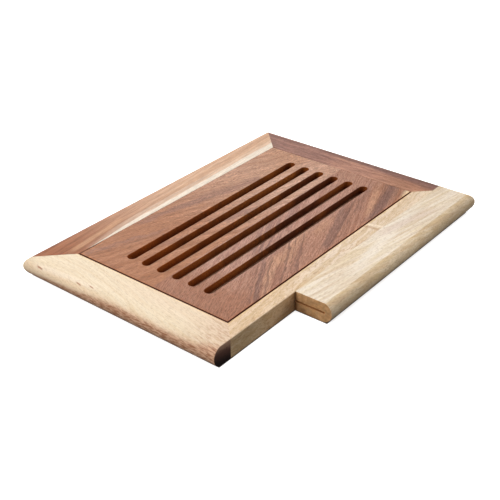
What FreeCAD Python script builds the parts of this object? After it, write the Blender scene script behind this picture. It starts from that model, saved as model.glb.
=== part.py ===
"""Bread board: a mitred frame around a lift-out slotted grid, with a crumb tray below and a
knife block glued along the front. Millimetres, +X along the long side, +Y to the back, +Z up,
origin at the middle of the underside of the whole board."""
import FreeCAD
import Part
import Sketcher
import math
import os

# Driving dimensions
DRIVING_SIZES = {
    # frame
    "opening_length": 381,
    "opening_width": 231,
    "board_thickness": 25,
    "rail_flat": 37.5,
    "nose_bulge": 9.5,
    "front_rail_width": 20.5,
    "edge_easing": 0.6,
    # seat of the grid and rebate for the floor of the crumb tray
    "ledge_width": 6,
    "floor_thickness": 5,
    "floor_recess": 1,
    "floor_clearance": 0.2,
    "front_floor_width": 115,
    # lift-out grid
    "grid_thickness": 10,
    "grid_gap_left": 1.3,
    "grid_gap_right": 0.3,
    "grid_gap_front": 1.3,
    "grid_gap_back": 0.3,
    "front_stave_width": 110.3,
    "slots_per_stave": 3,
    "slot_width": 12,
    "bar_width": 12,
    "joint_past_slot": 1.6,
    "slot_margin": 27.9,
    "slot_margin_right": 24.5,
    "rim_easing": 0.6,
    # knife block
    "block_flat": 40,
    "notch_length": 140,
    "kerf_depth": 39.5,
    "kerf_thickness": 2.2,
    # loose tongues in the mitres
    "tongue_thickness": 4,
    "tongue_clearance": 0.1,
    "back_tongue_start": 12,
    "back_tongue_length": 40,
    "back_tongue_width": 20,
    "front_tongue_start": 4,
    "front_tongue_length": 16,
    "front_tongue_width": 12,
    # dowels between the knife block and the frame
    "dowel_diameter": 6,
    "dowel_length": 24,
    "dowel_rounding": 0.8,
    "dowel_clearance": 0.1,
    "dowel_end_gap": 0.5,
    "dowel_first": 45,
    "dowel_spacing": 100,
}
CUT_OVERRUN = 5
TOLERANCE = 0.001

doc = FreeCAD.newDocument("bread_board")
sheet = doc.addObject("Spreadsheet::Sheet", "Sizes")
for row, (alias, value) in enumerate(DRIVING_SIZES.items(), start=1):
    sheet.set(f"A{row}", alias)
    sheet.set(f"B{row}", str(value))
    sheet.setAlias(f"B{row}", alias)
doc.recompute()


class Size:
    """A size held both as the expression that a feature is bound to and as its number now."""

    def __init__(self, text, number):
        self.text = text
        self.number = number

    def __add__(self, other):
        other = as_size(other)
        return Size(f"({self.text} + {other.text})", self.number + other.number)

    def __sub__(self, other):
        other = as_size(other)
        return Size(f"({self.text} - {other.text})", self.number - other.number)

    def __mul__(self, other):
        other = as_size(other)
        return Size(f"({self.text} * {other.text})", self.number * other.number)

    def __truediv__(self, other):
        other = as_size(other)
        return Size(f"({self.text} / {other.text})", self.number / other.number)

    def __neg__(self):
        return as_size(0) - self


def as_size(value):
    return value if isinstance(value, Size) else Size(str(value), float(value))


def driving(alias):
    return Size(f"Sizes.{alias}", float(sheet.get(alias)))


# Widths of the frame's sides
board_thickness = driving("board_thickness")
rail_flat = driving("rail_flat")
nose_bulge = driving("nose_bulge")
nose_radius = (board_thickness * board_thickness / 4 + nose_bulge * nose_bulge) / (nose_bulge * 2)
rail_width = rail_flat + nose_bulge
front_rail_width = driving("front_rail_width")
block_flat = driving("block_flat")
block_width = block_flat + nose_bulge
edge_easing = driving("edge_easing")

# Where the frame's lines lie on the whole board
opening_length = driving("opening_length")
opening_width = driving("opening_width")
half_length = opening_length / 2
half_width = opening_width / 2
board_right = half_length + rail_width
board_back = (rail_width + opening_width + front_rail_width + block_width) / 2
opening_back = board_back - rail_width
opening_middle = opening_back - half_width
opening_front = opening_back - opening_width
notch_plane = opening_front - front_rail_width
block_length = board_right * 2 - driving("notch_length")
block_end = board_right - block_length

# Heights inside the frame
ledge_width = driving("ledge_width")
grid_thickness = driving("grid_thickness")
seat_height = board_thickness - grid_thickness
floor_thickness = driving("floor_thickness")
floor_bottom = driving("floor_recess")
floor_top = floor_bottom + floor_thickness


def bind(feature, sizes):
    """Ties properties of the feature to sizes."""
    for path, size in sizes.items():
        feature.setExpression(path, as_size(size).text)


def place(piece, x, y, z, turn=0, axis=FreeCAD.Vector(0, 0, 1)):
    """Turns a piece about an axis by an angle and puts its own origin at x, y, z."""
    piece.Placement = FreeCAD.Placement(FreeCAD.Vector(), FreeCAD.Rotation(axis, turn))
    bind(piece, {"Placement.Base.x": x, "Placement.Base.y": y, "Placement.Base.z": z})


def new_body(label):
    body = doc.addObject("PartDesign::Body", label)
    body.Label = label
    return body


def origin_feature(body, role):
    return next(item for item in body.Origin.OriginFeatures if item.Role == role)


def new_sketch(body, name, role, shift=0, lift=0, turn=0):
    """A sketch on one of the body's own planes, lifted along its normal, shifted along its own
    first direction and turned in the plane."""
    sketch = body.newObject("Sketcher::SketchObject", name)
    sketch.AttachmentSupport = [(origin_feature(body, role), "")]
    sketch.MapMode = "FlatFace"
    turned = FreeCAD.Rotation(FreeCAD.Vector(0, 0, 1), turn)
    sketch.AttachmentOffset = FreeCAD.Placement(FreeCAD.Vector(), turned)
    bind(sketch, {"AttachmentOffset.Base.x": shift, "AttachmentOffset.Base.z": lift})
    return sketch


def dimension(sketch, kind, elements, size):
    """Adds a dimension to the sketch and ties it to a size."""
    index = sketch.addConstraint(Sketcher.Constraint(kind, *elements, size.number))
    sketch.setExpression(f"Constraints[{index}]", size.text)


def fix_point(sketch, geometry, point, x, y):
    """Holds a point of the sketch at x, y from the sketch's origin."""
    for kind, axis, size in (("DistanceX", -2, as_size(x)), ("DistanceY", -1, as_size(y))):
        if size.number:
            dimension(sketch, kind, (-1, 1, geometry, point), size)
        else:
            sketch.addConstraint(Sketcher.Constraint("PointOnObject", geometry, point, axis))


def nose_arc(sketch, start, end):
    """Adds the rounded nose from start to end, standing out to the left of that way. Gives the
    geometry's number and the numbers of its points at start and at end: as every arc of a
    sketch, it runs anticlockwise, which is from end to start."""
    across = end - start
    outwards = FreeCAD.Vector(-across.y, across.x, 0).normalize()
    crown = (start + end) * 0.5 + outwards * nose_bulge.number
    arc = sketch.addGeometry(Part.Arc(end, crown, start))
    dimension(sketch, "Radius", (arc,), nose_radius)
    return arc, 2, 1


def outline(sketch, corners, nose_edge=None):
    """Draws a closed outline through the corners. The edge whose number is nose_edge is the
    rounded nose, and the others are straight."""
    spots = [FreeCAD.Vector(as_size(x).number, as_size(y).number, 0) for x, y in corners]
    edges = []
    for number, start in enumerate(spots):
        end = spots[(number + 1) % len(spots)]
        if number == nose_edge:
            edges.append(nose_arc(sketch, start, end))
        else:
            edges.append((sketch.addGeometry(Part.LineSegment(start, end)), 1, 2))
    for number, (geometry, first, last) in enumerate(edges):
        following, following_first, _ = edges[(number + 1) % len(edges)]
        ends = (geometry, last, following, following_first)
        sketch.addConstraint(Sketcher.Constraint("Coincident", *ends))
        fix_point(sketch, geometry, first, *corners[number])


def slot_outline(sketch, start, middle, length, width):
    """Draws a slot with round ends that runs along the sketch's first direction from start."""
    radius = width / 2
    centres = (start + radius, start + length - radius)
    spots = [FreeCAD.Vector(centre.number, middle.number, 0) for centre in centres]
    side = FreeCAD.Vector(0, radius.number, 0)
    normal = FreeCAD.Vector(0, 0, 1)
    arcs = []
    for spot, begin in zip(spots, (math.pi / 2, -math.pi / 2)):
        circle = Part.Circle(spot, normal, radius.number)
        arcs.append(sketch.addGeometry(Part.ArcOfCircle(circle, begin, begin + math.pi)))
    lower = sketch.addGeometry(Part.LineSegment(spots[0] - side, spots[1] - side))
    upper = sketch.addGeometry(Part.LineSegment(spots[1] + side, spots[0] + side))
    way_round = (arcs[0], lower, arcs[1], upper)
    for number, geometry in enumerate(way_round):
        following = way_round[(number + 1) % len(way_round)]
        sketch.addConstraint(Sketcher.Constraint("Tangent", geometry, 2, following, 1))
    sketch.addConstraint(Sketcher.Constraint("Equal", *arcs))
    dimension(sketch, "Radius", (arcs[0],), radius)
    for arc, centre in zip(arcs, centres):
        fix_point(sketch, arc, 3, centre, middle)


def disc(sketch, x, y, diameter):
    """Draws a circle with its centre at x, y."""
    centre = FreeCAD.Vector(as_size(x).number, as_size(y).number, 0)
    normal = FreeCAD.Vector(0, 0, 1)
    circle = sketch.addGeometry(Part.Circle(centre, normal, diameter.number / 2))
    dimension(sketch, "Diameter", (circle,), diameter)
    fix_point(sketch, circle, 3, x, y)


def add_feature(body, kind, name, sizes=None, **settings):
    """Adds the next feature of a body, with its settings, and ties its sizes."""
    feature = body.newObject(f"PartDesign::{kind}", name)
    for setting, value in settings.items():
        setattr(feature, setting, value)
    bind(feature, sizes or {})
    body.Tip = feature
    doc.recompute()
    return feature


def cut(body, name, sketch, sizes=None, **settings):
    """Adds a pocket and makes sure that it takes wood away."""
    doc.recompute()
    before = body.Shape.Volume
    pocket = add_feature(body, "Pocket", name, sizes, Profile=sketch, **settings)
    if body.Shape.Volume > before - TOLERANCE:
        raise ValueError(f"{body.Label}: {name} cuts nothing")
    return pocket


def cut_through(body, name, sketch):
    return cut(body, name, sketch, Type="ThroughAll", SideType="Symmetric")


def ease(body, name, radius, wanted):
    """Rounds over the edges that are wanted, judged by their bounding boxes."""
    edges = enumerate(body.Shape.Edges, start=1)
    names = [f"Edge{number}" for number, edge in edges if wanted(edge.BoundBox)]
    if not names:
        raise ValueError(f"{body.Label}: {name} finds no edges")
    add_feature(body, "Fillet", name, {"Radius": radius}, Base=(body.Tip, names))


def stays_at(size, low, high):
    """Whether an edge keeps to one place along the direction in which it runs low to high."""
    return abs(low - size.number) < TOLERANCE and abs(high - size.number) < TOLERANCE


# Loose tongues: where they start out from the opening's corner, their length and their width
TONGUES = {
    corner: [driving(f"{corner}_tongue_{part}") for part in ("start", "length", "width")]
    for corner in ("back", "front")
}
tongue_thickness = driving("tongue_thickness")
tongue_clearance = driving("tongue_clearance")
tongue_height = board_thickness / 2


def mortise(body, end, half_run, corner):
    """Cuts the room for half of a tongue, square to the mitre at one end of a rail."""
    start, length, width = TONGUES[corner]
    mitre_way = 45 if end > 0 else 135
    sketch = new_sketch(body, "mortise", "XY_Plane", half_run * end, tongue_height, mitre_way)
    spare = tongue_clearance * 2
    slot_outline(sketch, start - tongue_clearance, as_size(0), length + spare, width + spare)
    depth = {"Length": tongue_thickness + spare}
    cut(body, "mortise_cut", sketch, depth, SideType="Symmetric")


def mitre(body, end, half_run):
    """Cuts one end of a rail at 45 degrees, along the line out from the opening's corner."""
    inner = ledge_width + CUT_OVERRUN
    outer = rail_width + CUT_OVERRUN
    tip, far = (half_run - inner) * end, (half_run + outer) * end
    sketch = new_sketch(body, "mitre", "XY_Plane")
    outline(sketch, [(tip, -inner), (far, outer), (far, -inner)])
    cut_through(body, "mitre_cut", sketch)


def rail(label, half_run, run_past, flat, nosed=True):
    """One side of the frame, in its own directions: +X along it from the middle of the opening,
    +Y outwards from the opening's edge. run_past gives, for its low and its high end, how far it
    runs past the opening's corner and which tongue it holds."""
    (low_run, low_corner), (high_run, high_corner) = run_past
    body = new_body(label)
    section = new_sketch(body, "section", "YZ_Plane", lift=-(half_run + low_run))
    corners = [(0, board_thickness), (flat, board_thickness), (flat, 0), (0, 0)]
    corners += [(0, floor_top), (-ledge_width, floor_top)]
    corners += [(-ledge_width, seat_height), (0, seat_height)]
    outline(section, corners, nose_edge=1 if nosed else None)
    length = {"Length": half_run * 2 + low_run + high_run}
    add_feature(body, "Pad", "bar", length, Profile=section)
    for end, corner in ((-1, low_corner), (1, high_corner)):
        mitre(body, end, half_run)
        mortise(body, end, half_run, corner)
    return body


def ease_opening(body):
    """Rounds over the top edge along the grid."""

    def beside_grid(box):
        along_top = stays_at(board_thickness, box.ZMin, box.ZMax)
        return along_top and stays_at(as_size(0), box.YMin, box.YMax)

    ease(body, "opening_easing", edge_easing, beside_grid)


def ease_end(body, end):
    """Rounds over the top, nose and bottom edges of an end that is cut off square at X = end."""

    def round_end(box):
        spans_height = box.ZMax - box.ZMin > board_thickness.number / 2
        on_top = stays_at(board_thickness, box.ZMin, box.ZMax)
        on_bottom = stays_at(as_size(0), box.ZMin, box.ZMax)
        level = box.YMax - box.YMin > TOLERANCE
        return stays_at(end, box.XMin, box.XMax) and level and (spans_height or on_top or on_bottom)

    ease(body, "end_easing", edge_easing, round_end)


# Dowels: how far they go in, and their places along the front and in the right rail's end
dowel_diameter = driving("dowel_diameter")
dowel_length = driving("dowel_length")
dowel_hole = dowel_diameter + driving("dowel_clearance") * 2
dowel_hole_depth = dowel_length / 2 + driving("dowel_end_gap")
dowel_height = (board_thickness - driving("kerf_thickness")) / 4
dowel_in_rail = half_length + (front_rail_width + rail_flat) / 2
dowels_in_front = [
    block_end + driving("dowel_first") + driving("dowel_spacing") * number for number in range(3)
]

BACK = (rail_width, "back")
FRONT = (front_rail_width, "front")

# Back rail
back_rail = rail("back_rail", half_length, (BACK, BACK), rail_flat)
ease_opening(back_rail)
place(back_rail, 0, opening_back, 0)

# Left rail, whose front end shows
left_rail = rail("left_rail", half_width, (FRONT, BACK), rail_flat)
ease_opening(left_rail)
ease_end(left_rail, -(half_width + front_rail_width))
place(left_rail, -half_length, opening_middle, 0, turn=90)

# Right rail, whose front end is glued and dowelled to the knife block
right_rail = rail("right_rail", half_width, (BACK, FRONT), rail_flat)
ease_opening(right_rail)
right_end = half_width + front_rail_width
end_hole = new_sketch(right_rail, "dowel_hole", "YZ_Plane", lift=right_end)
disc(end_hole, dowel_in_rail - half_length, dowel_height, dowel_hole)
cut(right_rail, "dowel_hole_cut", end_hole, {"Length": dowel_hole_depth})
place(right_rail, half_length, opening_middle, 0, turn=-90)

# Front rail, whose outer edges are eased along the notch only
front_rail = rail("front_rail", half_length, (FRONT, FRONT), front_rail_width, nosed=False)
ease_opening(front_rail)
notch_edges = new_sketch(front_rail, "notch_easing", "YZ_Plane", lift=-block_end)
for face_height, inwards in ((board_thickness, -1), (as_size(0), 1)):
    outline(
        notch_edges,
        [
            (front_rail_width, face_height),
            (front_rail_width - edge_easing, face_height),
            (front_rail_width, face_height + edge_easing * inwards),
        ],
    )
cut(front_rail, "notch_easing_cut", notch_edges, Type="ThroughAll", Reversed=True)
front_holes = new_sketch(front_rail, "dowel_holes", "XZ_Plane", lift=-front_rail_width)
for dowel_x in dowels_in_front:
    disc(front_holes, -dowel_x, dowel_height, dowel_hole)
cut(front_rail, "dowel_holes_cut", front_holes, {"Length": dowel_hole_depth}, Reversed=True)
place(front_rail, 0, opening_front, 0, turn=180)

# Knife block, from the right end of the board to the notch, with the kerf for the blade
knife_block = new_body("knife_block")
block_section = new_sketch(knife_block, "section", "YZ_Plane")
block_corners = [(0, board_thickness), (block_flat, board_thickness), (block_flat, 0), (0, 0)]
outline(block_section, block_corners, nose_edge=1)
add_feature(knife_block, "Pad", "bar", {"Length": block_length}, Profile=block_section)
outside = -as_size(CUT_OVERRUN)
above = board_thickness + CUT_OVERRUN
end_round = new_sketch(knife_block, "end_round", "XZ_Plane")
outline(
    end_round,
    [
        (nose_bulge, 0),
        (nose_bulge, board_thickness),
        (nose_bulge, above),
        (outside, above),
        (outside, outside),
        (nose_bulge, outside),
    ],
    nose_edge=0,
)
cut_through(knife_block, "end_round_cut", end_round)
ease_end(knife_block, block_length)
kerf = new_sketch(knife_block, "kerf", "YZ_Plane")
kerf_depth = driving("kerf_depth")
kerf_thickness = driving("kerf_thickness")
kerf_low = (board_thickness - kerf_thickness) / 2
kerf_high = kerf_low + kerf_thickness
outline(
    kerf,
    [(outside, kerf_low), (kerf_depth, kerf_low), (kerf_depth, kerf_high), (outside, kerf_high)],
)
cut_through(knife_block, "kerf_cut", kerf)
block_holes = new_sketch(knife_block, "dowel_holes", "XZ_Plane")
for dowel_x in [*dowels_in_front, dowel_in_rail]:
    disc(block_holes, board_right - dowel_x, dowel_height, dowel_hole)
cut(knife_block, "dowel_holes_cut", block_holes, {"Length": dowel_hole_depth})
place(knife_block, board_right, notch_plane, 0, turn=180)

# Loose tongues in the mitres, lying along them
TONGUE_PLACES = {
    "back_right_tongue": ("back", half_length, opening_back, 45),
    "back_left_tongue": ("back", -half_length, opening_back, 135),
    "front_left_tongue": ("front", -half_length, opening_front, 225),
    "front_right_tongue": ("front", half_length, opening_front, 315),
}
for label, (corner, corner_x, corner_y, mitre_way) in TONGUE_PLACES.items():
    start, length, width = TONGUES[corner]
    tongue = new_body(label)
    tongue_outline = new_sketch(tongue, "outline", "XY_Plane")
    slot_outline(tongue_outline, start, as_size(0), length, width)
    thickness = {"Length": tongue_thickness}
    add_feature(tongue, "Pad", "plate", thickness, Profile=tongue_outline, SideType="Symmetric")
    place(tongue, corner_x, corner_y, tongue_height, turn=mitre_way)

# Dowels, half in the knife block and half in the frame
for number, dowel_x in enumerate([*dowels_in_front, dowel_in_rail], start=1):
    dowel = new_body(f"block_dowel_{number}")
    dowel_circle = new_sketch(dowel, "circle", "XY_Plane")
    disc(dowel_circle, 0, 0, dowel_diameter)
    along = {"Length": dowel_length}
    add_feature(dowel, "Pad", "pin", along, Profile=dowel_circle, SideType="Symmetric")
    ease(dowel, "end_roundings", driving("dowel_rounding"), lambda box: box.ZMax - box.ZMin < TOLERANCE)
    place(dowel, dowel_x, notch_plane, dowel_height, turn=90, axis=FreeCAD.Vector(1, 0, 0))

# Floor of the crumb tray: two boards glued edge to edge in the rebate under the ledge
floor_clearance = driving("floor_clearance")
floor_length = opening_length - floor_clearance * 2
front_floor_width = driving("front_floor_width")
back_floor_width = opening_width - floor_clearance * 2 - front_floor_width
floor_front = opening_front + floor_clearance
FLOOR_STAVES = {
    "floor_front_stave": (floor_front, front_floor_width),
    "floor_back_stave": (floor_front + front_floor_width, back_floor_width),
}
for label, (stave_front, stave_width) in FLOOR_STAVES.items():
    floor_stave = doc.addObject("Part::Box", label)
    floor_stave.Label = label
    bind(floor_stave, {"Length": floor_length, "Width": stave_width, "Height": floor_thickness})
    place(floor_stave, -floor_length / 2, stave_front, floor_bottom)

# Lift-out grid: two boards glued edge to edge, each with its share of the slots
grid_gap_left = driving("grid_gap_left")
grid_gap_front = driving("grid_gap_front")
grid_length = opening_length - grid_gap_left - driving("grid_gap_right")
grid_width = opening_width - grid_gap_front - driving("grid_gap_back")
front_stave_width = driving("front_stave_width")
slots_per_stave = driving("slots_per_stave")
slot_width = driving("slot_width")
slot_pitch = slot_width + driving("bar_width")
slot_margin = driving("slot_margin")
slot_length = grid_length - slot_margin - driving("slot_margin_right")
last_front_slot_middle = front_stave_width - driving("joint_past_slot") - slot_width / 2
first_slot_middle = last_front_slot_middle - slot_pitch * (slots_per_stave - 1)
GRID_STAVES = {
    "grid_front_stave": (as_size(0), front_stave_width, as_size(0)),
    "grid_back_stave": (front_stave_width, grid_width, slots_per_stave),
}


def on_top_but_not_glued(box):
    on_top = stays_at(grid_thickness, box.ZMin, box.ZMax)
    return on_top and not stays_at(front_stave_width, box.YMin, box.YMax)


for label, (stave_front, stave_back, slots_before) in GRID_STAVES.items():
    grid_stave = new_body(label)
    board = new_sketch(grid_stave, "board", "XY_Plane")
    outline(
        board,
        [(0, stave_front), (grid_length, stave_front), (grid_length, stave_back), (0, stave_back)],
    )
    add_feature(grid_stave, "Pad", "plank", {"Length": grid_thickness}, Profile=board)
    slot = new_sketch(grid_stave, "slot", "XY_Plane")
    slot_middle = first_slot_middle + slot_pitch * slots_before
    slot_outline(slot, slot_margin, slot_middle, slot_length, slot_width)
    first_slot = cut_through(grid_stave, "first_slot", slot)
    add_feature(
        grid_stave,
        "LinearPattern",
        "slots",
        {"Offset": slot_pitch, "Occurrences": slots_per_stave},
        Originals=[first_slot],
        Direction=(origin_feature(grid_stave, "Y_Axis"), [""]),
        Mode="Spacing",
    )
    ease(grid_stave, "rims", driving("rim_easing"), on_top_but_not_glued)
    place(grid_stave, grid_gap_left - half_length, opening_front + grid_gap_front, seat_height)

# Checks, and one file for each piece
doc.recompute()
for item in doc.Objects:
    if "Invalid" in item.State or "Error" in item.State:
        raise ValueError(f"{item.Label} failed: {item.State}")
pieces = [item for item in doc.Objects if item.TypeId in ("PartDesign::Body", "Part::Box")]
for piece in pieces:
    if piece.Shape.isNull() or not piece.Shape.isValid():
        raise ValueError(f"{piece.Label} has no valid shape")
os.makedirs("parts", exist_ok=True)
for piece in pieces:
    piece.Shape.exportStep(os.path.join("parts", f"{piece.Label}.step"))
    box = piece.Shape.BoundBox
    extents = f"{box.XLength:.2f} x {box.YLength:.2f} x {box.ZLength:.2f}"
    print(f"{piece.Label}: {extents}, {piece.Shape.Volume / 1000:.2f} cm3")
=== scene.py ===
"""The looks of the bread board: oiled acacia in seven different boards, a pale floor, soft studio
light and the photograph's camera. The camera, the floor and the lights are in metres, in the frame
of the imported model. The patterns of the woods are in millimetres, in the same frame."""

import math

import bpy
from mathutils import Matrix, Vector


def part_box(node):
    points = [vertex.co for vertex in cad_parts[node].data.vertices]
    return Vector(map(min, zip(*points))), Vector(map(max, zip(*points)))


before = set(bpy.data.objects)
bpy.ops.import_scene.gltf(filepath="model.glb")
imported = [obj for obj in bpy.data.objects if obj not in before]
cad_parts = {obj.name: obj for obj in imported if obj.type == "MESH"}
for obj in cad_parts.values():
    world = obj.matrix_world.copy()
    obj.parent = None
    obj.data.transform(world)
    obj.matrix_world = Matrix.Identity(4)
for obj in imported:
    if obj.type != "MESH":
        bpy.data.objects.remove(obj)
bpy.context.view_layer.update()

MM = 1000.0

# Camera, as found from the lines in the photograph, in degrees and metres
PHOTO_WIDTH_PX = 500
FOCAL_LENGTH_PX = 954.19
CAMERA_AZIMUTH = -51.180
CAMERA_ELEVATION = 30.830
CAMERA_ROLL = -0.499
CAMERA_DISTANCE = 1.18827
CAMERA_TARGET = Vector((-0.02583, -0.00246, 0.0))
SENSOR_WIDTH_MM = 36.0


def make_camera():
    """The photograph's camera, turned about its target by azimuth, elevation and roll."""
    azimuth, elevation = math.radians(CAMERA_AZIMUTH), math.radians(CAMERA_ELEVATION)
    roll = math.radians(CAMERA_ROLL)
    level = math.cos(elevation)
    back = Vector((math.sin(azimuth) * level, -math.cos(azimuth) * level, math.sin(elevation)))
    right = Vector((0, 0, 1)).cross(back).normalized()
    up = back.cross(right)
    turned_right = right * math.cos(roll) + up * math.sin(roll)
    turned_up = up * math.cos(roll) - right * math.sin(roll)
    data = bpy.data.cameras.new("photo_camera")
    data.sensor_width = SENSOR_WIDTH_MM
    data.lens = FOCAL_LENGTH_PX / PHOTO_WIDTH_PX * SENSOR_WIDTH_MM
    camera = bpy.data.objects.new("photo_camera", data)
    bpy.context.scene.collection.objects.link(camera)
    place = Matrix((turned_right, turned_up, back)).transposed().to_4x4()
    place.translation = CAMERA_TARGET + back * CAMERA_DISTANCE
    camera.matrix_world = place
    bpy.context.scene.camera = camera


make_camera()

# The numbers of a Mix node's sockets, when it mixes colours
MIX_SHARE, MIX_BELOW, MIX_ABOVE, MIX_RESULT = 0, 6, 7, 2


def feed(tree, socket, value):
    """Gives an input its value, which is a socket to link or a plain value."""
    if isinstance(value, bpy.types.NodeSocket):
        tree.links.new(value, socket)
    else:
        socket.default_value = value


def calculate(tree, operation, *values):
    """Adds a math node. A value is a socket or a number."""
    node = tree.nodes.new("ShaderNodeMath")
    node.operation = operation
    for socket, value in zip(node.inputs, values):
        feed(tree, socket, value)
    return node.outputs[0]


def mix(tree, share, below, above, blend="MIX"):
    """Adds a node that lays one colour over another. A colour is a socket or three numbers."""
    node = tree.nodes.new("ShaderNodeMix")
    node.data_type = "RGBA"
    node.blend_type = blend
    feed(tree, node.inputs[MIX_SHARE], share)
    for number, colour in ((MIX_BELOW, below), (MIX_ABOVE, above)):
        if not isinstance(colour, bpy.types.NodeSocket):
            colour = (*colour, 1)
        feed(tree, node.inputs[number], colour)
    return node.outputs[MIX_RESULT]


# The floor, which lies a little under the board so that their faces don't mix
FLOOR_HALF = 6.0
FLOOR_COLOUR = (0.86, 0.86, 0.86)
FLOOR_GLOW = 0.65
FLOOR_ROUGHNESS = 0.9
FLOOR_LEVEL = -0.0003

# A painted contact shadow: the dark line where the board meets the floor. It lies inside the box
# of the rails and the block, because their round noses overhang it.
CONTACT_SHADOW_COLOUR = (0.07, 0.06, 0.05)
CONTACT_SHADOW_WIDTH = 0.0003
CONTACT_SHADOW_FADE = 0.0005
NOSE_INSET = 0.0073
BLOCK_INSET = 0.0060
CORNER_INSET = 0.004

# The surroundings, whose light fades out from the horizon to a height below it
WORLD_COLOUR = (1.0, 1.0, 1.0)
WORLD_STRENGTH = 0.32
WORLD_LOW = 0.1
WORLD_FADE_HEIGHT = -0.2

# Each light's place, width, height and power in watts. All face one point.
LIGHT_TARGET = Vector((0, 0, 0))
LIGHTS = {
    "overhead": ((0.0, 0.3, 2.4), 2.2, 2.2, 33),
    "left": ((-2.2, 0.5, 1.3), 1.6, 1.6, 42),
    "back": ((1.2, 2.0, 1.4), 1.8, 1.2, 23),
    "front": ((1.0, -1.1, 0.65), 1.0, 0.7, 9),
}


def outside(tree, place, low, high):
    """How far a point of the floor lies outside a rectangle from low to high."""
    gaps = []
    for axis in (0, 1):
        middle, half = (low[axis] + high[axis]) / 2, (high[axis] - low[axis]) / 2
        offset = calculate(tree, "ABSOLUTE", calculate(tree, "SUBTRACT", place[axis], middle))
        gaps.append(calculate(tree, "SUBTRACT", offset, half))
    return calculate(tree, "MAXIMUM", *gaps)


def unshadowed_floor_share(tree):
    """0 on the painted contact shadow, where the board touches the floor and on a narrow line
    around that, and 1 elsewhere.
    """
    texture = tree.nodes.new("ShaderNodeTexCoord")
    place = tree.nodes.new("ShaderNodeSeparateXYZ")
    tree.links.new(texture.outputs["Object"], place.inputs[0])
    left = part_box("left_rail")[0].x + NOSE_INSET
    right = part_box("right_rail")[1].x - NOSE_INSET
    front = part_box("front_rail")[0].y
    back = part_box("back_rail")[1].y - NOSE_INSET
    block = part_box("knife_block")[0]
    board = outside(tree, place.outputs, (left, front), (right, back))
    strip_low, strip_high = (block.x, block.y + BLOCK_INSET), (right - CORNER_INSET, front)
    strip = outside(tree, place.outputs, strip_low, strip_high)
    fade = tree.nodes.new("ShaderNodeMapRange")
    fade.inputs["From Min"].default_value = CONTACT_SHADOW_WIDTH
    fade.inputs["From Max"].default_value = CONTACT_SHADOW_WIDTH + CONTACT_SHADOW_FADE
    tree.links.new(calculate(tree, "MINIMUM", board, strip), fade.inputs["Value"])
    return fade.outputs["Result"]


def floor_paint():
    """Pale and glowing a little, with a painted contact shadow, dark and without glow, where the
    board meets it, and clear from below, so that the underside can be seen."""
    paint = bpy.data.materials.new("floor_paint")
    paint.use_nodes = True
    tree = paint.node_tree
    shader = tree.nodes["Principled BSDF"]
    shader.inputs["Roughness"].default_value = FLOOR_ROUGHNESS
    shader.inputs["Emission Color"].default_value = (1, 1, 1, 1)
    share = unshadowed_floor_share(tree)
    # Painted contact shadow: dark and without glow where the board meets the floor
    tree.links.new(mix(tree, share, CONTACT_SHADOW_COLOUR, FLOOR_COLOUR), shader.inputs["Base Color"])
    glow = calculate(tree, "MULTIPLY", share, FLOOR_GLOW)
    tree.links.new(glow, shader.inputs["Emission Strength"])
    geometry = tree.nodes.new("ShaderNodeNewGeometry")
    clear = tree.nodes.new("ShaderNodeBsdfTransparent")
    either = tree.nodes.new("ShaderNodeMixShader")
    tree.links.new(geometry.outputs["Backfacing"], either.inputs[0])
    tree.links.new(shader.outputs[0], either.inputs[1])
    tree.links.new(clear.outputs[0], either.inputs[2])
    tree.links.new(either.outputs[0], tree.nodes["Material Output"].inputs["Surface"])
    return paint


def make_floor():
    """A floor that throws no light back on the board, whose sides are dark in the photograph."""
    signs = ((-1, -1), (1, -1), (1, 1), (-1, 1))
    corners = [(x * FLOOR_HALF, y * FLOOR_HALF, FLOOR_LEVEL) for x, y in signs]
    mesh = bpy.data.meshes.new("floor")
    mesh.from_pydata(corners, [], [(0, 1, 2, 3)])
    mesh.materials.append(floor_paint())
    floor = bpy.data.objects.new("floor", mesh)
    bpy.context.scene.collection.objects.link(floor)
    floor.visible_diffuse = False
    floor.visible_glossy = False


def make_world():
    """Even light from above, and little from below the horizon."""
    world = bpy.data.worlds.new("studio")
    bpy.context.scene.world = world
    world.use_nodes = True
    tree = world.node_tree
    background = tree.nodes["Background"]
    background.inputs["Color"].default_value = (*WORLD_COLOUR, 1)
    direction = tree.nodes.new("ShaderNodeTexCoord")
    parts = tree.nodes.new("ShaderNodeSeparateXYZ")
    fade = tree.nodes.new("ShaderNodeMapRange")
    fade.inputs["From Min"].default_value = WORLD_FADE_HEIGHT
    fade.inputs["From Max"].default_value = 0.0
    fade.inputs["To Min"].default_value = WORLD_LOW
    fade.inputs["To Max"].default_value = WORLD_STRENGTH
    tree.links.new(direction.outputs["Generated"], parts.inputs[0])
    tree.links.new(parts.outputs["Z"], fade.inputs["Value"])
    tree.links.new(fade.outputs["Result"], background.inputs["Strength"])


def make_light(name, place, width, height, power):
    """A soft rectangular light at place that faces LIGHT_TARGET."""
    data = bpy.data.lights.new(name, "AREA")
    data.shape = "RECTANGLE"
    data.size, data.size_y = width, height
    data.energy = power
    light = bpy.data.objects.new(name, data)
    bpy.context.scene.collection.objects.link(light)
    way = LIGHT_TARGET - Vector(place)
    light.rotation_euler = way.to_track_quat("-Z", "Y").to_euler()
    light.location = place


make_floor()
make_world()
for name, settings in LIGHTS.items():
    make_light(name, *settings)
view = bpy.context.scene.view_settings
view.view_transform = "Standard"
view.look = "None"

# How far apart two seeds lie, in a noise and in a row of lines
SEED_STEP = (37.3, 11.9, 23.1)
LINE_SEED_STEP = 7.7
LINE_ROUGHNESS = 0.6

# The parts that broad bands, fine lines and fading have in the growth rings, how many fine lines
# there are to a band, and how long the fading is along the grain
RING_BROAD, RING_FINE, RING_FADING = 0.5, 0.3, 0.2
RING_LINES = 5
RING_FADING_LENGTH = 45

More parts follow.
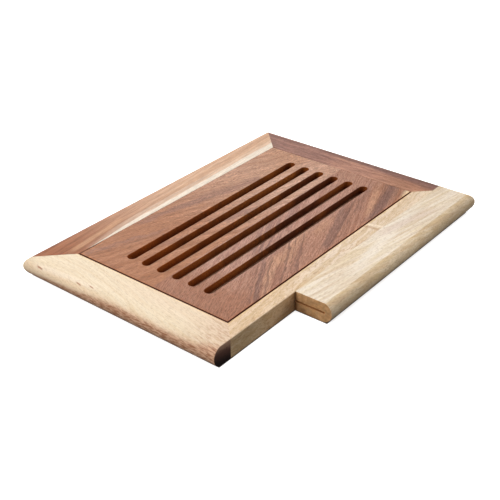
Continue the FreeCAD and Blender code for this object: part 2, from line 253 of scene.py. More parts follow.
# How much of a streak's width is full, and how the bundles of hair lines sway and fade out
STREAK_CORE = 0.25
HAIR_SWAY, HAIR_SWAY_SIZE = 2.5, (30, 8, 8)
HAIR_LOW, HAIR_HIGH = 0.44, 0.60
HAIR_FADE = 14

# How far a face is turned towards the grain where its end grain begins, and where it is full
END_GRAIN_LOW, END_GRAIN_HIGH = 0.6, 0.95

# The values of a pattern between which it darkens and lightens
SHADE_LOW, SHADE_HIGH = 0.3, 0.7

# Fibres and pores, and the finish of the oiled wood. The relief is in metres.
FIBRE_SIZE = (30, 0.9, 0.9)
FIBRE_LOW, FIBRE_HIGH = 0.2, 0.8
PORE_SIZE = (4.5, 0.8, 0.8)
PORE_LOW, PORE_HIGH = 0.54, 0.66
PORE_TINT = (0.42, 0.26, 0.17)
ROUGHNESS, ROUGHNESS_SPREAD = 0.5, 0.07
SHEEN = 0.2
RELIEF, RELIEF_STRENGTH = 0.00012, 0.5
FIBRE_RELIEF, PORE_RELIEF = 0.5, -0.8

# Painted shade: the gap around the grid is brown along its upper edges, down to a height, and a
# painted highlight makes the wood beside it a little paler. A point at EDGE_NONE from the edge
# shows neither.
GAP_SHADE_BROWN, RIM_HIGHLIGHT_TINT = (0.075, 0.014, 0.001), (1.12, 1.02, 0.88)
EDGE_WIDTH, EDGE_FULL = 1.2, 0.3
RIM_WIDTH = 3.6
EDGE_BOTTOM, EDGE_TOP = 22.5, 24
EDGE_NONE = 9.0


class Wood:
    """Builds the nodes of one board's wood. Its own directions are along the grain and across it,
    from an origin in the model's frame, and x, y and z are the model's own. A value is a socket or a
    number, and a share is a value from 0 to 1. A seed picks one pattern of many."""

    def __init__(self, name, origin, grain_yaw):
        self.material = bpy.data.materials.new(name)
        self.material.use_nodes = True
        self.tree = self.material.node_tree
        self.shader = self.tree.nodes["Principled BSDF"]
        texture = self.tree.nodes.new("ShaderNodeTexCoord")
        place = texture.outputs["Object"]
        yaw = math.radians(grain_yaw)
        turn = {"Location": Vector(origin) / MM, "Rotation": (0, 0, yaw), "Scale": [1 / MM] * 3}
        self.grain = self.add("Mapping", {"Vector": place, **turn}, vector_type="TEXTURE")
        self.along, self.across = self.parts(self.grain)[:2]
        whole = self.add("Mapping", {"Vector": place, "Scale": [MM] * 3}, vector_type="POINT")
        self.x, self.y, self.z = self.parts(whole)
        self.face_x, self.face_y, self.face_z = self.parts(texture.outputs["Normal"])
        turned = self.plus(self.times(self.face_x, math.cos(yaw)), self.face_y, math.sin(yaw))
        self.end_grain = self.rise(self.size_of(turned), END_GRAIN_LOW, END_GRAIN_HIGH)

    def add(self, kind, inputs, **settings):
        """Adds a node and gives its first output."""
        node = self.tree.nodes.new(f"ShaderNode{kind}")
        for name, value in settings.items():
            setattr(node, name, value)
        for name, value in inputs.items():
            feed(self.tree, node.inputs[name], value)
        return node.outputs[0]

    def parts(self, vector):
        """A vector's three parts."""
        node = self.tree.nodes.new("ShaderNodeSeparateXYZ")
        feed(self.tree, node.inputs[0], vector)
        return node.outputs

    def plus(self, first, second, share=1.0):
        """The first value and a share of the second."""
        return calculate(self.tree, "MULTIPLY_ADD", second, share, first)

    def minus(self, first, second):
        return calculate(self.tree, "SUBTRACT", first, second)

    def times(self, first, second):
        return calculate(self.tree, "MULTIPLY", first, second)

    def size_of(self, value):
        """A value without its sign."""
        return calculate(self.tree, "ABSOLUTE", value)

    def rise(self, value, low, high, low_share=0.0, high_share=1.0):
        """A smooth step from low_share at low to high_share at high."""
        ends = {"From Min": low, "From Max": high, "To Min": low_share, "To Max": high_share}
        return self.add("MapRange", {"Value": value, **ends}, interpolation_type="SMOOTHSTEP")

    def reach(self, origin, way):
        """How far a point lies from an origin in a level direction, seen from above."""
        start = -origin[0] * way[0] - origin[1] * way[1]
        along_x = calculate(self.tree, "MULTIPLY_ADD", self.x, way[0], start)
        return self.plus(along_x, self.y, way[1])

    def noise(self, size, seed, detail=2.0, roughness=0.5):
        """A share whose lumps have a size along the grain, across it and up."""
        start = [seed * step for step in SEED_STEP]
        moved = {"Vector": self.grain, "Location": start, "Scale": size}
        vector = self.add("Mapping", moved, vector_type="TEXTURE")
        inputs = {"Vector": vector, "Scale": 1.0, "Detail": detail, "Roughness": roughness}
        return self.add("TexNoise", inputs)

    def spots(self, size, seed, low, high, **noise):
        """A share that begins where a noise is at low, and is full from high on."""
        return self.rise(self.noise(size, seed, **noise), low, high)

    def sway(self, width, size, seed, detail=3.0, roughness=0.5):
        """A soft push to both sides, of up to about a width: most of a noise lies within a quarter
        of its middle."""
        noise = self.noise(size, seed, detail, roughness)
        return calculate(self.tree, "MULTIPLY_ADD", noise, 4 * width, -2 * width)

    def lines(self, value, spacing, seed, detail):
        """A share with uneven lines, where value says how far across them a point lies."""
        turned = calculate(self.tree, "MULTIPLY_ADD", value, 1 / spacing, seed * LINE_SEED_STEP)
        inputs = {"W": turned, "Scale": 1.0, "Detail": detail, "Roughness": LINE_ROUGHNESS}
        return self.add("TexNoise", inputs, noise_dimensions="1D")

    def rings(self, value, spacing, seed, low=0.38, high=0.6):
        """Cut growth rings as a share: broad bands with finer lines among them, which fade and come
        back along the grain. The nearer low and high are, the sharper they look."""
        broad = self.lines(value, spacing, seed, detail=2)
        fine = self.lines(value, spacing / RING_LINES, seed + 1, detail=3)
        both = self.plus(self.times(broad, RING_BROAD), fine, RING_FINE)
        size = (RING_FADING_LENGTH, spacing / 2, spacing / 2)
        fading = self.noise(size, seed + 2, detail=3, roughness=0.6)
        return self.rise(self.plus(both, fading, RING_FADING), low, high)

    def streak(self, start, end, width, fade, push=None):
        """A share that is full on the line between two places of the top, and fades out within a
        width to its sides and around its ends. A push bends it sideways."""
        start, end = Vector(start), Vector(end)
        length = (end - start).length
        way = (end - start) / length
        along, off = self.reach(start, way), self.reach(start, (-way.y, way.x))
        if push is not None:
            off = self.plus(off, push)
        near = self.rise(self.size_of(off), width, width * STREAK_CORE)
        first = self.rise(along, -fade, fade)
        last = self.rise(along, length + fade, length - fade)
        return self.times(near, self.times(first, last))

    def hairs(self, start, end, width, spacing, seed):
        """The share of dark hair lines in a bundle that runs between two places of the top."""
        push = self.sway(HAIR_SWAY, HAIR_SWAY_SIZE, seed, detail=3, roughness=0.6)
        start, end = Vector(start), Vector(end)
        way = (end - start).normalized()
        off = self.plus(self.reach(start, (-way.y, way.x)), push)
        lines = self.rise(self.lines(off, spacing, seed + 1, detail=3), HAIR_LOW, HAIR_HIGH)
        return self.times(self.streak(start, end, width, HAIR_FADE, push), lines)

    def mix(self, share, below, above):
        return mix(self.tree, share, below, above)

    def layer(self, colour, share, strength, above):
        """Covers a colour with another, by a share of the surface and a strength."""
        return self.mix(self.times(share, strength), colour, above)

    def stain(self, colour, share, tint):
        """Tints a colour on a share of the surface."""
        return mix(self.tree, share, colour, tint, "MULTIPLY")

    def shade(self, colour, value, darkest, lightest):
        """Darkens and lightens a colour by a pattern's value."""
        light = self.rise(value, SHADE_LOW, SHADE_HIGH, darkest, lightest)
        grey = self.add("CombineColor", {0: light, 1: light, 2: light})
        return self.stain(colour, 1.0, grey)

    def lay_streaks(self, colour, streaks, fade, push, tone):
        """Lays streaks over a colour. Each has a start, an end, a width and a strength."""
        for start, end, width, strength in streaks:
            colour = self.layer(colour, self.streak(start, end, width, fade, push), strength, tone)
        return colour

    def lay_hairs(self, colour, bundles, strength, tone):
        """Lays bundles of hair lines over a colour. Each has a start, an end, a width, a spacing and
        a seed."""
        for start, end, width, spacing, seed in bundles:
            colour = self.layer(colour, self.hairs(start, end, width, spacing, seed), strength, tone)
        return colour

    def paint_gap_shade_and_highlight(self, colour, distance):
        """Paints shade on the upper edge of the gap, in brown, and a painted highlight on a rim
        beside it. distance is a point's distance from the edge."""
        top = self.rise(self.z, EDGE_BOTTOM, EDGE_TOP)
        rim_highlight = self.times(top, self.rise(distance, RIM_WIDTH, EDGE_WIDTH))
        brown = self.times(top, self.rise(distance, EDGE_WIDTH, EDGE_FULL))
        return self.mix(brown, self.stain(colour, rim_highlight, RIM_HIGHLIGHT_TINT), GAP_SHADE_BROWN)

    def finish(self, colour, seed, end_tint, fibre=0.1, pore=0.3):
        """Adds fibres, pores, end grain and a faint relief, connects the shader and gives the
        material."""
        fibres = self.noise(FIBRE_SIZE, seed + 1, detail=3, roughness=0.7)
        colour = self.shade(colour, fibres, 1 - fibre, 1 + fibre)
        pits = self.spots(PORE_SIZE, seed + 2, PORE_LOW, PORE_HIGH, detail=1)
        colour = self.stain(colour, self.times(pits, pore), PORE_TINT)
        colour = self.stain(colour, self.end_grain, end_tint)
        roughest, smoothest = ROUGHNESS + ROUGHNESS_SPREAD, ROUGHNESS - ROUGHNESS_SPREAD
        rough = self.rise(fibres, FIBRE_LOW, FIBRE_HIGH, roughest, smoothest)
        height = self.plus(self.times(fibres, FIBRE_RELIEF), pits, PORE_RELIEF)
        relief = {"Height": height, "Distance": RELIEF, "Strength": RELIEF_STRENGTH}
        feed(self.tree, self.shader.inputs["Base Color"], colour)
        feed(self.tree, self.shader.inputs["Roughness"], rough)
        feed(self.tree, self.shader.inputs["Specular IOR Level"], SHEEN)
        feed(self.tree, self.shader.inputs["Normal"], self.add("Bump", relief))
        return self.material


# Places on the board, in millimetres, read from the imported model
opening_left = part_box("floor_front_stave")[0].x * MM
opening_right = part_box("floor_front_stave")[1].x * MM
opening_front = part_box("floor_front_stave")[0].y * MM
opening_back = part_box("floor_back_stave")[1].y * MM
grid_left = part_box("grid_front_stave")[0].x * MM
grid_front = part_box("grid_front_stave")[0].y * MM
grid_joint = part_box("grid_back_stave")[0].y * MM
block_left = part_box("knife_block")[0].x * MM

# Short brown flecks of the left rail: start and end
LEFT_RAIL_FLECKS = (
    ((-221.5, 155.5), (-219.0, 154.0)),
    ((-234.6, 150), (-235.2, 141)),
    ((-232.5, 85), (-233.4, 77)),
    ((-230.0, 66), (-230.9, 59)),
)


def left_rail_heartwood_and_shade(wood):
    """The colour of the heartwood below, and the share of the rail that it takes up. Low on the
    nose towards the back, this brown also stands in as painted shade.
    """
    grain = wood.spots((30, 1.5, 1.5), 4, 0.36, 0.64, detail=4)
    brown = wood.mix(grain, (0.33, 0.15, 0.08), (0.60, 0.37, 0.24))
    limit = wood.plus(wood.rise(wood.y, 250, -10, 4.5, 19.5), wood.sway(1.2, (60, 25, 25), 3))
    limit = wood.plus(limit, wood.rise(wood.y, -92, -122, 0.0, 5.0))
    depth = wood.minus(limit, wood.plus(wood.z, wood.rise(wood.x, -230, -205, 0.0, 9.0)))
    ragged = wood.plus(depth, wood.sway(0.8, (8, 1.2, 1.2), 7))
    return brown, wood.rise(ragged, -3.0, 3.5)


def left_rail_end(wood):
    """The rail's sawn front end, which darkens downwards almost to black."""
    down = wood.plus(wood.plus(wood.z, wood.x, 0.2), wood.sway(1.5, (3, 3, 3), 11))
    end = wood.mix(wood.rise(down, -17, -31), (0.40, 0.24, 0.16), (0.085, 0.035, 0.024))
    return wood.mix(wood.rise(down, -27, -42), end, (0.010, 0.003, 0.002))


def left_rail_wood():
    """Cream sapwood, with heartwood that grows along its lower outer edge to the front, and whose
    brown low on the nose is partly painted shade.
    """
    wood = Wood("left_rail_wood", (opening_left, 0, 0), 78)
    slant = wood.rise(wood.y, 130, -125, 0.0, 46.0)
    across = wood.plus(wood.plus(wood.x, slant), wood.sway(4, (70, 12, 12), 1))
    rings = wood.rings(across, 4, 2, 0.34, 0.62)
    colour = wood.mix(rings, (0.655, 0.515, 0.345), (0.715, 0.60, 0.445))
    # Painted shade: faces that don't face up are a little warmer and darker
    colour = wood.stain(colour, wood.rise(wood.face_z, 0.9, 0.5), (1.05, 0.98, 0.93))
    inside = wood.times(wood.rise(wood.x, -228, -200), wood.rise(wood.y, 90, -20))
    colour = wood.layer(colour, inside, 0.45, (0.69, 0.53, 0.39))
    bright = wood.streak((-234, 150), (-229, 55), 4, 15, wood.sway(1, (30, 6, 6), 6))
    colour = wood.layer(colour, bright, 0.55, (0.80, 0.68, 0.54))
    near_front = wood.rise(wood.y, -60, -122)
    dashes = wood.spots((9, 2.4, 2.4), 5, 0.42, 0.62, detail=4, roughness=0.65)
    colour = wood.layer(colour, wood.times(dashes, near_front), 0.65, (0.42, 0.235, 0.145))
    colour = wood.layer(colour, near_front, 0.3, (0.53, 0.34, 0.23))
    for start, end in LEFT_RAIL_FLECKS:
        colour = wood.layer(colour, wood.streak(start, end, 0.9, 2.5), 0.85, (0.36, 0.15, 0.08))
    # Heartwood, and painted shade low on the nose
    brown, low = left_rail_heartwood_and_shade(wood)
    colour = wood.mix(low, colour, brown)
    # Painted shade along the rail's edge at the gap, with a painted highlight beside it
    colour = wood.paint_gap_shade_and_highlight(colour, wood.minus(opening_left, wood.x))
    colour = wood.mix(wood.end_grain, colour, left_rail_end(wood))
    return wood.finish(colour, 10, (1, 1, 1), fibre=0.05, pore=0.25)


# Streaks of the back rail: start, end, width and colour
BACK_RAIL_STREAKS = (
    ((-205, 167), (-115, 170), 6, (0.22, 0.11, 0.08)),
    ((-192, 137), (-100, 147), 6, (0.56, 0.31, 0.165)),
    ((-168, 128.5), (-75, 138), 3.5, (0.40, 0.26, 0.185)),
    ((-75, 139), (60, 141), 3, (0.45, 0.305, 0.225)),
)


def back_rail_wood():
    """Reddish brown at the outer edge, and sapwood that widens along the opening to the right."""
    wood = Wood("back_rail_wood", (0, opening_back, 0), 3)
    inward = wood.plus(wood.y, -opening_back)
    across = wood.plus(wood.plus(inward, wood.x, -0.055), wood.sway(2.5, (60, 8, 8), 5))
    rings = wood.rings(across, 8, 6)
    right = wood.rise(wood.x, -215, 40)
    dark = wood.mix(right, (0.215, 0.064, 0.020), (0.49, 0.285, 0.172))
    light = wood.mix(right, (0.305, 0.104, 0.038), (0.58, 0.37, 0.243))
    colour = wood.mix(rings, dark, light)
    sapwood = wood.rise(wood.x, -200, -70, -1.0, 7.5)
    sapwood = wood.plus(sapwood, wood.rise(wood.x, -70, 200, 0.0, 4.0))
    past = wood.plus(wood.minus(inward, sapwood), wood.sway(1.0, (30, 5, 5), 8))
    band = wood.times(wood.rise(past, 9, 5), wood.rise(wood.x, -190, -80))
    colour = wood.layer(colour, band, 0.6, (0.61, 0.44, 0.32))
    push = wood.sway(1.0, (30, 5, 5), 9)
    for start, end, width, tone in BACK_RAIL_STREAKS:
        colour = wood.layer(colour, wood.streak(start, end, width, 15, push), 0.55, tone)
    colour = wood.mix(wood.rise(past, 1.2, -1.2), colour, (0.70, 0.60, 0.49))
    colour = wood.shade(colour, wood.noise((16, 2.0, 2.0), 9, 4, 0.65), 0.86, 1.13)
    # Painted shade along the rail's edge at the gap, with a painted highlight beside it
    colour = wood.paint_gap_shade_and_highlight(colour, wood.rise(wood.face_y, -0.8, -0.95, EDGE_NONE, 0.0))
    return wood.finish(colour, 20, (0.5, 0.38, 0.3), fibre=0.05, pore=0.2)


def right_rail_wood():
    """Dark heartwood: purple-brown outside and at the back, redder inside at the front."""
    wood = Wood("right_rail_wood", (opening_right, 0, 0), 92)
    across = wood.plus(wood.plus(wood.x, -opening_right), wood.sway(3, (70, 9, 9), 12))
    rings = wood.rings(across, 8, 13)
    red = wood.mix(rings, (0.31, 0.15, 0.105), (0.43, 0.225, 0.155))
    grey = wood.mix(rings, (0.20, 0.092, 0.072), (0.31, 0.16, 0.12))
    back = wood.rise(wood.plus(wood.y, wood.sway(25, (60, 12, 12), 15)), 10, 75)
    colour = wood.mix(back, red, grey)
    colour = wood.stain(colour, wood.rise(wood.y, -10, -95), (0.9, 0.85, 0.75))
    limit = wood.rise(wood.y, 150, -110, 42.0, 22.0)
    outer = wood.rise(wood.minus(across, limit), -6, 6)
    colour = wood.layer(colour, outer, 0.75, (0.145, 0.074, 0.066))
    colour = wood.shade(colour, wood.noise((24, 5, 5), 16, 5, 0.75), 0.72, 1.24)
    # Painted shade along the rail's edge at the gap, with a painted highlight beside it
    colour = wood.paint_gap_shade_and_highlight(colour, wood.rise(wood.face_x, -0.8, -0.95, EDGE_NONE, 0.0))
    return wood.finish(colour, 30, (0.45, 0.35, 0.3), fibre=0.1, pore=0.4)


def front_rail_outside_shade(wood, colour):
    """The rail's outer face, painted as in shade: warmer and darker, with painted shade browner
    towards the block and a dark line of painted shade in the corner against the block, and greyer
    at the left."""
    outside = wood.rise(wood.face_y, -0.6, -0.95)
    near_block_shade = wood.times(outside, wood.rise(wood.x, -150, -96))
    corner_shade = wood.times(outside, wood.rise(wood.x, -102, block_left))
    at_left = wood.times(outside, wood.rise(wood.x, -125, -190))
    # Painted shade: the outer face warmer and darker, browner towards the block and dark in the
    # corner
    colour = wood.stain(colour, outside, (1.0, 0.88, 0.72))
    colour = wood.layer(colour, near_block_shade, 0.35, (0.42, 0.24, 0.12))
    colour = wood.layer(colour, corner_shade, 0.7, (0.10, 0.04, 0.01))
    return wood.stain(colour, at_left, (0.80, 0.87, 0.93))


def front_rail_wood():
    """Cream to pinkish beige, with small curls and a bright swirl near the right end."""
    wood = Wood("front_rail_wood", (0, opening_front, 0), 6)
    push = wood.sway(7, (26, 9, 9), 21, detail=4, roughness=0.6)
    rings = wood.rings(wood.plus(wood.across, push), 6, 22, 0.4, 0.58)
    colour = wood.mix(rings, (0.585, 0.44, 0.29), (0.685, 0.558, 0.43))
    slanting = wood.plus(wood.plus(wood.across, wood.along, 0.28), wood.sway(11, (22, 12, 12), 25, 4))
    curls = wood.rise(wood.lines(slanting, 5, 26, detail=2), 0.56, 0.68)
    colour = wood.layer(colour, curls, 0.4, (0.47, 0.28, 0.15))
    swirl = wood.sway(3, (8, 20, 20), 27, detail=2)
    swirl_edge = wood.streak((74, -102), (79, -123), 4, 3, swirl)
    swirl_middle = wood.streak((81, -102), (85, -125), 3.5, 3, swirl)
    colour = wood.layer(colour, swirl_edge, 0.5, (0.42, 0.25, 0.14))
    colour = wood.layer(colour, swirl_middle, 0.8, (0.80, 0.68, 0.54))
    colour = front_rail_outside_shade(wood, colour)
    colour = wood.stain(colour, wood.rise(wood.x, -20, -130), (0.95, 0.88, 0.78))
    colour = wood.stain(colour, wood.rise(wood.x, 20, 110), (0.96, 0.94, 0.91))
    # Painted shade along the rail's edge at the gap, with a painted highlight beside it
    colour = wood.paint_gap_shade_and_highlight(colour, wood.minus(opening_front, wood.y))
    return wood.finish(colour, 40, (0.6, 0.45, 0.32), fibre=0.08, pore=0.35)


# Long lenses in the knife block: seed, strength and colour
BLOCK_LENSES = (
    (35, 0.45, (0.68, 0.54, 0.34)),
    (39, 0.6, (0.575, 0.43, 0.30)),
    (44, 0.55, (0.78, 0.71, 0.615)),
)

# The slit for the knife's blade, painted dark as shade: the height of its middle, half its
# thickness and where it ends
KERF_HEIGHT, KERF_HALF, KERF_END = 12.5, 1.2, -164.3
KERF_FADE = 0.3


def block_end(wood, colour):
    """The block's sawn end: blotched, with painted shade at its low front corner, against the rail
    and in the slit."""
    end = wood.rise(wood.face_x, -0.6, -0.95)
    blotches = wood.shade(colour, wood.noise((5, 7, 5), 38, 4, 0.6), 0.78, 1.2)
    colour = wood.mix(end, colour, blotches)
    # Painted shade low on the end, and in the corner against the rail
    low_corner_shade = wood.rise(wood.plus(wood.z, wood.y, -0.35), 62, 46)
    colour = wood.stain(colour, wood.times(end, low_corner_shade), (0.72, 0.66, 0.62))
    rail_corner_shade = wood.times(end, wood.rise(wood.y, -127.5, -124.5))
    colour = wood.layer(colour, rail_corner_shade, 0.7, (0.13, 0.05, 0.015))
    # Painted shade in the slit
    height = wood.size_of(wood.plus(wood.z, -KERF_HEIGHT))
    within = wood.rise(height, KERF_HALF + KERF_FADE, KERF_HALF)
    kerf_shade = wood.times(within, wood.rise(wood.y, KERF_END - KERF_FADE, KERF_END))
    return wood.mix(kerf_shade, colour, (0.42, 0.19, 0.07))


def block_wood():
    """Whitish cream, with long straight streaks at a slight angle to the block, and painted shade on
    its rounded sides and sawn end.
    """
    wood = Wood("block_wood", (0, opening_front, 0), -9)
    across = wood.plus(wood.across, wood.sway(3, (120, 12, 12), 31))
    rings = wood.rings(across, 12, 32, 0.36, 0.62)
    colour = wood.mix(rings, (0.625, 0.51, 0.36), (0.68, 0.585, 0.465))
    for seed, strength, tone in BLOCK_LENSES:
        lenses = wood.spots((90, 5, 6), seed, 0.45, 0.6, detail=4, roughness=0.6)
        colour = wood.layer(colour, lenses, strength, tone)
    white = wood.streak((-25, -152), (150, -132), 9, 30, wood.sway(3, (40, 8, 8), 38))
    colour = wood.layer(colour, white, 0.5, (0.75, 0.68, 0.59))
    pink = wood.streak((70, -131), (165, -150), 9, 20, wood.sway(2, (40, 8, 8), 36))
    colour = wood.layer(colour, pink, 0.5, (0.60, 0.46, 0.38))
    colour = wood.stain(colour, wood.rise(wood.x, 60, 150), (0.93, 0.92, 0.91))
    # Painted shade: the rounded sides are warmer and darker, and darker still towards the block's
    # ends
    round_side = wood.rise(wood.face_z, 0.985, 0.9)
    colour = wood.stain(colour, round_side, (0.96, 0.87, 0.72))
    near_ends = wood.rise(wood.size_of(wood.plus(wood.x, -60)), 50, 110)
    nose_end_shade = wood.times(wood.rise(wood.face_z, 0.98, 0.5), near_ends)
    colour = wood.stain(colour, nose_end_shade, (0.84, 0.84, 0.84))
    mottle = wood.spots((12, 4, 4), 37, 0.42, 0.65, detail=4, roughness=0.65)
    colour = wood.layer(colour, wood.times(mottle, round_side), 0.35, (0.44, 0.32, 0.20))
    colour = block_end(wood, colour)
    return wood.finish(colour, 50, (0.93, 0.68, 0.48), fibre=0.06, pore=0.35)


# The part of the grid that holds the slots: its middle, half its sizes and the fade at its edges
SLOTS_MIDDLE_Y, SLOTS_HALF_Y, SLOTS_HALF_X = 12, 68, 170
SLOTS_FADE = 2

# The tints of the slots' walls, partly the cut wood's own colour and partly painted shade: at the
# top, below as painted shade, over both at the left ends as painted light, and in the darker
# places, painted shade at the slots' right ends
WALL_TOP_TINT, WALL_LOW_SHADE_TINT = (0.6, 0.31, 0.07), (0.34, 0.14, 0.02)
WALL_LEFT_LIGHT_TINT = (1.35, 1.35, 1.2)
WALL_DARK_TINT, WALL_DARK_WIDTH, WALL_DARK_FADE = (0.45, 0.35, 0.4), 6, 14


def stave_cut(wood, colour, dark_walls):
    """The walls of the slots, a deep orange-brown that is partly the cut wood's own colour and partly
    painted shade, darker lower down as painted shade, paler at the left ends as painted light and
    darker in places, painted shade at the slots' right ends, and the painted shade and highlight
    along the gaps on the left and at the front. A darker place runs from one place to another."""
    off_y = wood.size_of(wood.plus(wood.y, -SLOTS_MIDDLE_Y))
    middle = wood.rise(off_y, SLOTS_HALF_Y + SLOTS_FADE, SLOTS_HALF_Y - SLOTS_FADE)
    off_x = wood.size_of(wood.x)
    beside = wood.rise(off_x, SLOTS_HALF_X + SLOTS_FADE, SLOTS_HALF_X - SLOTS_FADE)
    walls = wood.times(wood.times(middle, beside), wood.rise(wood.face_z, 0.98, 0.7))
    # Painted shade: the walls darker lower down; painted light: paler at the left ends
    tint = wood.mix(wood.rise(wood.z, 21, 15), WALL_TOP_TINT, WALL_LOW_SHADE_TINT)
    tint = wood.stain(tint, wood.rise(wood.x, -70, -125), WALL_LEFT_LIGHT_TINT)
    colour = wood.stain(colour, walls, tint)
    # Darker places in the walls, painted shade at the slots' right ends
    for start, end in dark_walls:
        dark_wall = wood.times(walls, wood.streak(start, end, WALL_DARK_WIDTH, WALL_DARK_FADE))
        colour = wood.stain(colour, dark_wall, WALL_DARK_TINT)
    # Painted shade along the grid's edges at the gaps on the left and at the front, with a painted
    # highlight beside it
    for value, edge in ((wood.x, grid_left), (wood.y, grid_front)):
        colour = wood.paint_gap_shade_and_highlight(colour, wood.plus(value, -edge))
    return colour


def between_slots(wood, colour):
    """The bars between the slots are greyer than the rest of the grid."""
    middle = wood.rise(wood.size_of(wood.plus(wood.y, -2)), 68, 50)
    return wood.stain(colour, wood.times(middle, wood.rise(wood.x, -165, -90)), (1.07, 1.15, 1.28))


# Dark streaks of the back stave: start, end, width and strength
BACK_STAVE_STREAKS = (
    ((-185, 120), (-85, 86), 4, 0.5),
    ((-150, 78), (-60, 44), 5, 0.3),
    ((-95, 124), (5, 103), 9, 0.55),
    ((0, 106), (105, 78), 12, 0.6),
    ((-30, 50), (45, 20), 9, 0.55),
)

# Its bundles of hair lines: start, end, width, spacing and seed
BACK_STAVE_HAIRS = (
    ((-40, 122), (110, 72), 17, 4.5, 141),
    ((-190, 118), (-90, 80), 6, 3.0, 144),
    ((60, 126), (165, 96), 8, 4.0, 147),
    ((-20, 44), (70, 18), 18, 4.0, 148),
)

# Darker places in the walls of its slots, painted shade towards the slots' right ends: start and end
BACK_STAVE_DARK_WALLS = (
    ((145, 78), (165, 78)),
    ((150, 54), (165, 54)),
    ((75, 30), (165, 30)),
)


def back_stave_wood():
    """Warm orange-brown, with slanting darker bands and fine ripples on the right."""
    wood = Wood("back_stave_wood", (0, grid_joint, 0), -21)
    across = wood.plus(wood.across, wood.sway(7, (70, 22, 22), 41, 4, 0.55))
    rings = wood.rings(across, 9, 42)
    warm = wood.mix(rings, (0.29, 0.115, 0.05), (0.37, 0.16, 0.078))
    pale = wood.mix(rings, (0.39, 0.205, 0.125), (0.49, 0.28, 0.185))
    colour = wood.mix(wood.rise(wood.x, -90, 110), warm, pale)
    colour = wood.stain(colour, wood.rise(wood.x, 110, 185), (0.94, 0.9, 0.86))
    push = wood.sway(5, (30, 12, 12), 45, 4, 0.6)
    colour = wood.lay_streaks(colour, BACK_STAVE_STREAKS, 14, push, (0.25, 0.125, 0.09))
    colour = wood.lay_hairs(colour, BACK_STAVE_HAIRS, 0.5, (0.20, 0.10, 0.07))
    waves = wood.plus(wood.across, wood.sway(7, (16, 12, 12), 47, 3, 0.6))
    rippled = wood.shade(colour, wood.lines(waves, 2.4, 48, detail=2), 0.72, 1.22)
    colour = wood.mix(wood.rise(wood.x, -110, 0, 0.25, 1.0), colour, rippled)
    colour = wood.shade(colour, wood.noise((7, 1.2, 1.2), 46, 4, 0.75), 0.76, 1.24)
    colour = between_slots(wood, colour)
    colour = stave_cut(wood, colour, BACK_STAVE_DARK_WALLS)
    # Painted shade along the grid's back edge at the left, with a painted highlight beside it
    from_back = wood.minus(opening_back, wood.y)
    left_only = wood.rise(wood.x, -165, -95, -1.0, EDGE_NONE)
    colour = wood.paint_gap_shade_and_highlight(colour, wood.plus(from_back, left_only))
    return wood.finish(colour, 60, (0.8, 0.7, 0.6), fibre=0.1, pore=0.5)


# Pale and dark streaks of the front stave: start, end, width and strength
FRONT_STAVE_PALE_STREAKS = (
    ((-60, -76), (25, -48), 14, 0.55),
    ((100, -92), (165, -66), 5, 0.5),
    ((-130, -104), (-50, -62), 7, 0.6),
    ((20, -70), (60, -58), 8, 0.4),
)
FRONT_STAVE_DARK_STREAKS = (
    ((-148, -104), (-70, -58), 3, 0.5),
    ((0, -97), (95, -62), 9, 0.5),
    ((100, -76), (170, -52), 6, 0.3),
    ((88, -104), (200, -74), 10, 0.7),
    ((20, -25), (90, 5), 7, 0.35),
)

# Its bundles of hair lines: start, end, width, spacing and seed
FRONT_STAVE_HAIRS = (
    ((-150, -110), (-60, -56), 16, 3.0, 151),
    ((-110, -118), (10, -50), 18, 3.5, 154),
    ((0, -100), (120, -58), 14, 4.0, 157),
    ((90, -108), (205, -70), 14, 3.0, 160),
    ((-60, -48), (20, -6), 22, 4.0, 163),
)

# Darker places in the walls of its slots, painted shade at the slots' right ends and darker further
# in: start and end
FRONT_STAVE_DARK_WALLS = (
    ((78, 6), (165, 6)),
    ((8, -18), (98, -18)),
    ((-36, -42), (60, -42)),
    ((80, -42), (165, -42)),
)

# The sapwood corner at the front right: a place on its edge and the way in from it
SAPWOOD_EDGE, SAPWOOD_WAY = (158, -104), (0.30, -0.954)


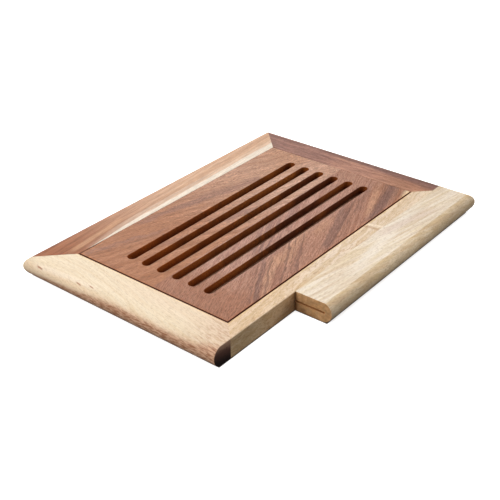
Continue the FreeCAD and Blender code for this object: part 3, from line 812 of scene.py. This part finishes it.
def front_stave_wood():
    """Pinkish grey-brown, with slanting bundles of dark purple streaks and a sapwood corner."""
    wood = Wood("front_stave_wood", (0, opening_front, 0), 22)
    across = wood.plus(wood.across, wood.sway(6, (80, 20, 20), 51, 4, 0.55))
    rings = wood.rings(across, 7, 52)
    colour = wood.mix(rings, (0.285, 0.130, 0.082), (0.39, 0.202, 0.135))
    plain = wood.rise(wood.plus(wood.x, wood.sway(20, (30, 30, 30), 53)), -110, -160)
    colour = wood.layer(colour, plain, 0.7, (0.28, 0.115, 0.06))
    colour = wood.stain(colour, wood.rise(wood.x, 100, 185), (0.92, 0.89, 0.82))
    push = wood.sway(4, (45, 10, 10), 55, 4, 0.6)
    colour = wood.lay_streaks(colour, FRONT_STAVE_PALE_STREAKS, 12, push, (0.50, 0.27, 0.16))
    colour = wood.lay_streaks(colour, FRONT_STAVE_DARK_STREAKS, 12, push, (0.17, 0.092, 0.075))
    colour = wood.lay_hairs(colour, FRONT_STAVE_HAIRS, 0.7, (0.15, 0.072, 0.053))
    colour = wood.shade(colour, wood.noise((10, 1.2, 1.2), 56, 4, 0.75), 0.72, 1.28)
    colour = between_slots(wood, colour)
    corner = wood.plus(wood.reach(SAPWOOD_EDGE, SAPWOOD_WAY), push, 0.3)
    colour = wood.mix(wood.rise(corner, -2.5, 4), colour, (0.66, 0.50, 0.33))
    colour = stave_cut(wood, colour, FRONT_STAVE_DARK_WALLS)
    return wood.finish(colour, 70, (0.8, 0.7, 0.6), fibre=0.1, pore=0.5)


def floor_wood():
    """Plain brown heartwood, for the tray's floor under the grid."""
    wood = Wood("floor_wood", (0, 0, 0), 0)
    across = wood.plus(wood.across, wood.sway(10, (140, 20, 20), 61))
    rings = wood.rings(across, 12, 62, 0.36, 0.62)
    colour = wood.mix(rings, (0.24, 0.11, 0.055), (0.40, 0.21, 0.12))
    return wood.finish(colour, 80, (0.5, 0.36, 0.26))


def beech_wood():
    """Pale beech with short flecks, for the tongues and dowels."""
    wood = Wood("beech_wood", (0, 0, 0), 45)
    flecks = wood.spots((8, 1.2, 1.2), 71, 0.55, 0.7)
    colour = wood.mix(flecks, (0.62, 0.42, 0.25), (0.5, 0.3, 0.16))
    return wood.finish(colour, 90, (0.6, 0.45, 0.3))


floor_boards = floor_wood()
beech = beech_wood()
woods = {
    "left_rail": left_rail_wood(),
    "back_rail": back_rail_wood(),
    "right_rail": right_rail_wood(),
    "front_rail": front_rail_wood(),
    "knife_block": block_wood(),
    "grid_back_stave": back_stave_wood(),
    "grid_front_stave": front_stave_wood(),
    "floor_front_stave": floor_boards,
    "floor_back_stave": floor_boards,
}
for name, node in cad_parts.items():
    node.data.materials.clear()
    node.data.materials.append(woods.get(name, beech))
